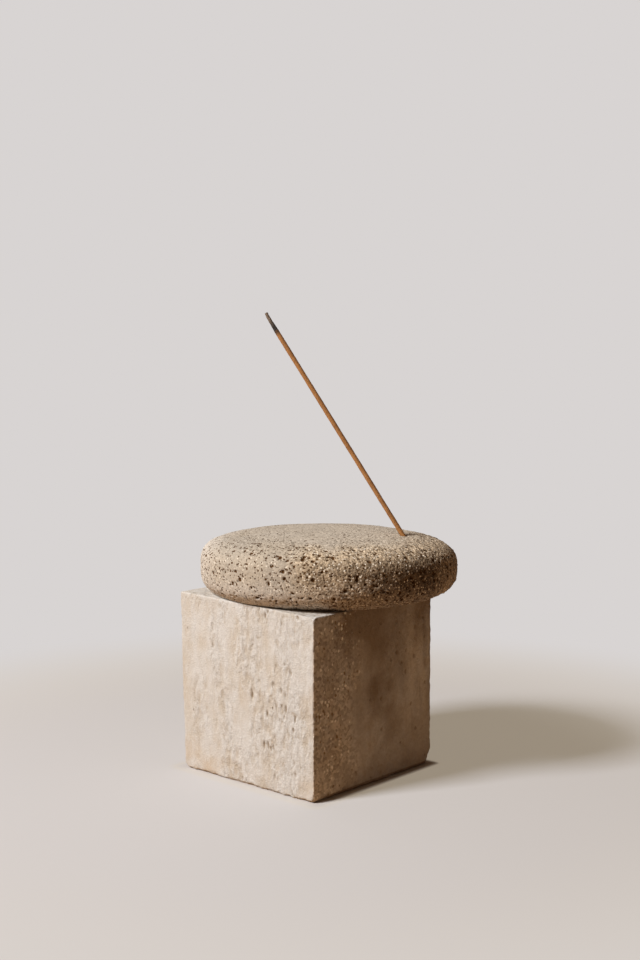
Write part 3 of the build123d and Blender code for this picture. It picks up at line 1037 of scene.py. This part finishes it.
def stone_marks(own, points):
    """How the pebble's stone changes over it, from points in its own frame and in the scene's.

    It is worn smooth on the crown and coarse on the drilled side, where painted shade darkens it,
    most of all in a patch on the side. Its pores gather on the shoulder. Near the foot its skin is
    painted paler as bounce light, and it is paler at the end away from the hole. Places are in
    millimetres from its middle, or shares of its height.
    """
    ahead, aside, up = own.T
    share = up / PEBBLE_HEIGHT
    drilled = eased(-40, 40, ahead)
    polish = share + 0.03 * rough(points, 12.0, 241)
    worn = eased(0.0, 1.0, (polish - 0.90 + 0.13 * drilled) / (0.11 + 0.12 * drilled))
    coarse = eased(-33, 45, ahead + 12 * rough(points, 22.0, 201)) * (1 - 0.7 * worn)
    # Painted shade on the drilled side, most in one patch
    patch = bell(np.hypot(ahead - 60, aside + 40), 0, 16)
    painted_side_shade = coarse**1.7 * (0.76 - 0.46 * eased(-32, -6, aside)) + 0.5 * patch
    shoulder = bell(share, 0.86, 0.08) * (1 - 0.6 * drilled)
    gather = 0.77 - 0.06 * drilled + 0.21 * coarse + 0.40 * rough(points, 16.0, 271)
    # Painted bounce light: the skin is painted paler near the foot
    rim = 0.60 * eased(0.50, 0.06, share) * (1 - 0.5 * drilled)
    return {
        "worn": worn,
        "coarse": coarse,
        "painted_side_shade": np.minimum(painted_side_shade, 1) * eased(0.92, 0.57, share),
        "gather": np.clip(gather + 0.38 * shoulder - 0.46 * worn, 0, 1),
        "rim": np.maximum(rim, 0.55 * eased(-44, -72, ahead)),
    }


def pebble_relief(points, marks, pebble):
    """Height of the skin over the plain form: shallow lumps and domed grains, with gas pores sunk in them.

    Adds how deep each point lies in a grain and in a pore, and the grain's own tone, to the marks.
    """
    lumps = 0.30 * rough(points, 38.0, 211) + 0.12 * rough(points, 11.0, 221)
    grain, tone = spots(drifted(points, 1.6, 0.25, 251), 1.9, 261, 0.60, 0.50, 0.95)
    pit, _ = spots(drifted(points, 2.0, 0.50, 281), 2.5, 291, 0.80, 0.60, 1.35)
    pit -= 0.62 * (1 - marks["gather"])
    bumps = pebble.grain_height / MM * np.sqrt(np.clip(grain / 0.5, 0, 1)) * (0.15 + 0.75 * marks["coarse"])
    # Each grain stands out by its own share
    bumps *= 0.35 + 0.65 * cell_number(np.floor(tone * 997)[:, None] * (1, 0, 0), 7)
    marks.update(grain=grain, tone=tone, pit=pit)
    sunk = pebble.pit_depth / MM * eased(-0.05, 0.45, pit)
    return lumps + bumps * (1 - eased(-0.2, 0.1, pit)) - sunk


class HOLDER_OT_pebble(bpy.types.Operator):
    """Build the drilled pebble"""

    bl_idname = "holder.pebble"
    bl_label = "Porous pebble"

    def execute(self, context):
        pebble = context.scene.holder_pebble
        places, quads = wrapped_lattice(PEBBLE_CELLS)
        own, inside = bored(pebble_points(places, pebble), pebble)
        points = PEBBLE_BASE + own @ OWN_AXES
        piece = new_piece("stone_pebble_skin", points, quads, porous_material(pebble))
        marks = stone_marks(own, points)
        relief = pebble_relief(points, marks, pebble)
        # The hole and the underside are nearly plain
        relief *= (1 - 0.9 * inside) * (0.1 + 0.9 * eased(0.0, 2.2, own[:, 2]))
        points = points + outward(piece) * relief[:, None]
        points[:, 2] = settled(points)
        set_points(piece, points)
        marks["pit"] = np.where(inside > 0.5, -1.0, marks["pit"])
        marks["gather"] = np.where(inside > 0.5, 0.0, marks["gather"])
        set_marks(piece, **marks)
        seat(piece, "pebble", "stone_pebble")
        return {"FINISHED"}


def stick_rings(radii, heights, around, drift=0.0):
    """Grid of points round the stick's line, a ring for each profile point.

    A ring is a circle of its radius, centred on the line at its height; drift moves the centre up.
    """
    turn = np.linspace(0, 2 * pi, around, endpoint=False)[:, None]
    ring = np.cos(turn) * STICK_UP + np.sin(turn) * STICK_SIDE
    centre = STICK_FOOT + heights[:, None] * STICK_AXIS + np.reshape(drift, (-1, 1)) * STICK_UP
    return centre[:, None] + radii[:, None, None] * ring


def ring_quads(low, high):
    """Faces between rings of point numbers."""
    return np.stack([low, np.roll(low, -1, 1), np.roll(high, -1, 1), high], -1).reshape(-1, 4).tolist()


def sleeve_piece(name, radii, heights, bore_rows, around, material):
    """Tube round the splint: its profile goes up the outside, over the end, down the bore and back."""
    radii = np.concatenate([radii, np.full(bore_rows, SLEEVE_BORE)])
    heights = np.concatenate([heights, np.linspace(heights[-1], heights[0], bore_rows)])
    points = stick_rings(radii, heights, around).reshape(-1, 3)
    index = np.arange(len(points)).reshape(-1, around)
    return new_piece(name, points, ring_quads(index, np.roll(index, -1, 0)), material)


def rod_piece(name, radii, heights, around, material, drift=0.0):
    """Closed rod: its profile starts and ends on its line, where the faces are triangles."""
    rings = stick_rings(radii, heights, around, drift)
    points = np.concatenate([rings[0, :1], rings[1:-1].reshape(-1, 3), rings[-1, :1]])
    index = np.arange(1, len(points) - 1).reshape(-1, around)
    first, last = index[0], index[-1]
    faces = ring_quads(index[:-1], index[1:])
    faces += np.stack([np.zeros_like(first), np.roll(first, -1), first], -1).tolist()
    faces += np.stack([np.full_like(last, len(points) - 1), last, np.roll(last, -1)], -1).tolist()
    return new_piece(name, points, faces, material)


def along_stick(points):
    """How far each point lies along the stick from its foot."""
    return (points - STICK_FOOT) @ STICK_AXIS


def outside_bore(points):
    """True for the points of a sleeve that are clear of its bore."""
    line = STICK_FOOT + along_stick(points)[:, None] * STICK_AXIS
    return np.linalg.norm(points - line, axis=1) > SLEEVE_BORE + 0.1


def push_out(piece, points, relief):
    """Moves a piece's points out along their normals by the relief."""
    set_points(piece, points + outward(piece) * relief[:, None])


def splint_core(stick):
    """The bamboo splint, a plain rod."""
    heights = np.linspace(0, SPLINT_LENGTH, SPLINT_ROWS)
    radii = np.pad(np.full(len(heights), SPLINT_RADIUS), 1)
    material = bamboo_material(stick)
    return rod_piece("bamboo_splint_core", radii, np.pad(heights, 1, "edge"), stick.around // 2, material)


def coat_paste(stick):
    """The rolled paste, uneven outside and scorched towards the burnt end."""
    heights = np.linspace(0, COAT_LENGTH, COAT_ROWS)
    radii = np.full(len(heights), COAT_RADIUS)
    material = paste_material(stick)
    coat = sleeve_piece("incense_coat_paste", radii, heights, COAT_BORE_ROWS, stick.around, material)
    points = piece_points(coat)
    relief = 0.05 * rough(points, 5.0, 401) + 0.05 * rough(points, 0.9, 411)
    push_out(coat, points, np.minimum(relief, COAT_PROUD) * outside_bore(points))
    edge = along_stick(points) + 0.9 * swell(points, 1.4, 421)
    set_marks(coat, scorch=0.85 * eased(COAT_LENGTH - 3.6, COAT_LENGTH + 0.2, edge))
    return coat


def collar_crust(stick):
    """The burnt band, which tapers from the paste to the ash and is crazed between its ends."""
    share = np.linspace(0, 1, CHAR_ROWS)
    length = SPLINT_LENGTH - COAT_LENGTH
    radii = COAT_RADIUS + (stick.char_radius / MM - COAT_RADIUS) * share
    heights = COAT_LENGTH + length * share
    material = char_material(stick)
    collar = sleeve_piece("charred_collar_crust", radii, heights, CHAR_BORE_ROWS, stick.around, material)
    points = piece_points(collar)
    level = (along_stick(points) - COAT_LENGTH) / length
    relief = 0.09 * rough(points, 1.1, 501)
    relief -= 0.10 * eased(0.2, 0.8, level) * eased(-0.2, 0.6, rough(points, 2.0, 511))
    push_out(collar, points, relief * eased(0, 0.06, level) * eased(1, 0.94, level) * outside_bore(points))
    uneven = level + 0.14 * rough(points, 1.6, 521)
    set_marks(collar, paste=0.55 * eased(0.22, -0.02, uneven), ash=0.85 * eased(0.42, 0.95, uneven))
    return collar


def ash_crumb(stick):
    """The ash: up its side and over its rounded tip, its line bending up with the square of the way."""
    foot, tip, soft = stick.char_radius / MM, stick.ash_radius / MM, stick.ash_rounding / MM
    length = stick.ash_length / MM
    share = np.linspace(0, 1, ASH_ROWS)
    turn = np.linspace(0, pi / 2, TIP_ROWS)[1:-1]
    side, shoulder = foot + (tip - foot) * share, tip - soft + soft * np.cos(turn)
    radii = np.concatenate([[0, 0.5 * foot], side, shoulder, [tip - soft, 0.3, 0]])
    way = np.concatenate([[0, 0], share * (length - soft), length - soft + soft * np.sin(turn), [length] * 3])
    drift = stick.ash_drift / MM * (way / length) ** 2
    ash = rod_piece("ash_tip_crumb", radii, SPLINT_LENGTH + way, stick.around, ash_material(stick), drift)
    points = piece_points(ash)
    level = (along_stick(points) - SPLINT_LENGTH) / length
    relief = 0.08 * rough(points, 1.3, 601) - 0.09 * eased(0.1, 0.7, rough(points, 0.8, 611))
    push_out(ash, points, eased(0.02, 0.12, level) * relief)
    set_marks(ash, char=0.6 * eased(0.30, -0.05, level + 0.2 * rough(points, 1.2, 621)))
    return ash


class HOLDER_OT_stick(bpy.types.Operator):
    """Build the bamboo splint and the incense round it"""

    bl_idname = "holder.stick"
    bl_label = "Incense stick"

    def execute(self, context):
        stick = context.scene.holder_stick
        seat(splint_core(stick), "stick", "bamboo_splint")
        seat(coat_paste(stick), "stick", "incense_coat")
        return {"FINISHED"}


class HOLDER_OT_burnt_end(bpy.types.Operator):
    """Build the charred collar and the ash"""

    bl_idname = "holder.burnt_end"
    bl_label = "Burnt end"

    def execute(self, context):
        stick = context.scene.holder_stick
        seat(collar_crust(stick), "stick", "charred_collar")
        seat(ash_crumb(stick), "stick", "ash_tip")
        return {"FINISHED"}


def floor_material(stage):
    """Pale floor: lit and shaded near the holder, plain further out, and warm in the light it throws back."""
    material, nodes, place = new_material("pale_floor")
    far = nodes.vector("LENGTH", place)["Value"]
    # Near the holder the plain part is painted a warm shadow tint; the lit part's bluish colour evens it out
    # where the lamp falls
    tint = nodes.mix(nodes.ramp(far, FLOOR_PLAIN, FLOOR_SHADED), stage.floor_colour, stage.shadow_colour)
    plain = nodes.add("ShaderNodeEmission", {"Color": tint, "Strength": 1.0})
    half = (*(BLOCK_HIGH - BLOCK_LOW)[:2] / 2 * MM, 0.0)
    beyond = nodes.vector("SUBTRACT", nodes.vector("ABSOLUTE", place)[0], half)[0]
    gap = nodes.vector("LENGTH", nodes.vector("MAXIMUM", beyond, (0, 0, 0))[0])["Value"]
    close = nodes.ramp(gap, FOOT_BAND, 0.0)
    near = nodes.larger(nodes.ramp(far, FLOOR_PLAIN, FLOOR_SHADED, 0.0, 0.6), close)
    lit = nodes.add("ShaderNodeBsdfDiffuse", {"Color": nodes.mix(close, stage.floor_lit, stage.floor_foot)})
    shown = nodes.add("ShaderNodeMixShader", {0: near, 1: plain.outputs[0], 2: lit.outputs[0]})
    bounce = nodes.add("ShaderNodeBsdfDiffuse", {"Color": opaque(stage.floor_bounce)})
    both = nodes.add("ShaderNodeMixShader", {0: nodes.seen(), 1: bounce.outputs[0], 2: shown.outputs[0]})
    nodes.add("ShaderNodeOutputMaterial", {"Surface": both.outputs[0]})
    return material


def pale_floor(stage):
    """Level disc just below the block's foot: rings of quads round one face in the middle."""
    reach = np.linspace(FLOOR_MIDDLE, FLOOR_REACH, FLOOR_RINGS)[:, None]
    turn = np.linspace(0, 2 * pi, FLOOR_SPOKES, endpoint=False)
    drop = np.full((FLOOR_RINGS, FLOOR_SPOKES), -FLOOR_GAP)
    points = np.stack([reach * np.cos(turn), reach * np.sin(turn), drop], -1).reshape(-1, 3)
    index = np.arange(len(points)).reshape(-1, FLOOR_SPOKES)
    faces = ring_quads(index[1:], index[:-1]) + [index[0].tolist()]
    return new_piece("pale_floor", points, faces, floor_material(stage))


def pale_room(stage):
    """World that looks like the floor and lights the shaded sides more weakly."""
    room = bpy.data.worlds.new("pale_room")
    room.use_nodes = True
    nodes = Nodes(room.node_tree)
    plain = nodes.add("ShaderNodeBackground", {"Color": opaque(stage.floor_colour), "Strength": 1.0})
    fill = nodes.add("ShaderNodeBackground", {"Color": opaque(stage.fill_colour), "Strength": 1.0})
    both = nodes.add("ShaderNodeMixShader", {0: nodes.seen(), 1: fill.outputs[0], 2: plain.outputs[0]})
    nodes.add("ShaderNodeOutputWorld", {"Surface": both.outputs[0]})
    return room


def window_lamp(stage):
    """Large soft lamp to the left of the camera, facing the pebble from its heading and rise."""
    lamp = bpy.data.lights.new("window_light", "AREA")
    lamp.shape = "SQUARE"
    lamp.size = stage.window_side
    lamp.energy = stage.window_power
    lamp.color = stage.window_colour
    window = bpy.data.objects.new("window_light", lamp)
    heading, rise, far = stage.window_heading, stage.window_rise, stage.window_distance
    flat = far * cos(rise)
    window.location = (flat * cos(heading), flat * sin(heading), stage.window_aim + far * sin(rise))
    window.rotation_euler = (pi / 2 - rise, 0, heading + pi / 2)
    return window


def view_camera(stage):
    """Camera that looks a little down on the holder's front corner."""
    lens = bpy.data.cameras.new("view")
    lens.lens = stage.lens
    lens.sensor_width = SENSOR_WIDTH
    lens.clip_start = 10 * MM
    camera = bpy.data.objects.new("view", lens)
    camera.location = stage.camera_place
    camera.rotation_euler = (pi / 2 - stage.camera_tilt, 0, stage.camera_heading)
    return camera


class HOLDER_OT_stage(bpy.types.Operator):
    """Set the floor, the room, the lamp and the camera"""

    bl_idname = "holder.stage"
    bl_label = "Stage"

    def execute(self, context):
        scene, stage = context.scene, context.scene.holder_stage
        floor = pale_floor(stage)
        scene.world = pale_room(stage)
        scene.collection.objects.link(window_lamp(stage))
        scene.camera = view_camera(stage)
        scene.collection.objects.link(scene.camera)
        scene.view_settings.view_transform = "Standard"
        return {"FINISHED"}


class HOLDER_PT_panel(bpy.types.Panel):
    """The holder's pieces and their settings"""

    bl_idname = "HOLDER_PT_panel"
    bl_label = "Incense Stick Holder"
    bl_space_type = "VIEW_3D"
    bl_region_type = "UI"
    bl_category = "Holder"

    def draw(self, context):
        for name in ("block", "pebble", "stick", "burnt_end", "stage"):
            self.layout.operator(f"holder.{name}")
            settings = getattr(context.scene, f"holder_{name}", None)
            if settings is not None:
                box = self.layout.box()
                for setting in settings.__annotations__:
                    box.prop(settings, setting)


SETTINGS = {
    "holder_block": BlockSettings,
    "holder_pebble": PebbleSettings,
    "holder_stick": StickSettings,
    "holder_stage": StageSettings,
}
CLASSES = (
    *SETTINGS.values(), HOLDER_OT_block, HOLDER_OT_pebble, HOLDER_OT_stick, HOLDER_OT_burnt_end,
    HOLDER_OT_stage, HOLDER_PT_panel,
)


def register():
    """Add the settings, the operators and the panel."""
    for kind in CLASSES:
        bpy.utils.register_class(kind)
    for name, kind in SETTINGS.items():
        setattr(bpy.types.Scene, name, PointerProperty(type=kind))


def unregister():
    """Take them out again."""
    for name in SETTINGS:
        delattr(bpy.types.Scene, name)
    for kind in reversed(CLASSES):
        bpy.utils.unregister_class(kind)


def main():
    """Build the holder and its stage."""
    register()
    bpy.ops.holder.block()
    bpy.ops.holder.pebble()
    bpy.ops.holder.stick()
    bpy.ops.holder.burnt_end()
    bpy.ops.holder.stage()


if __name__ == "__main__":
    main()
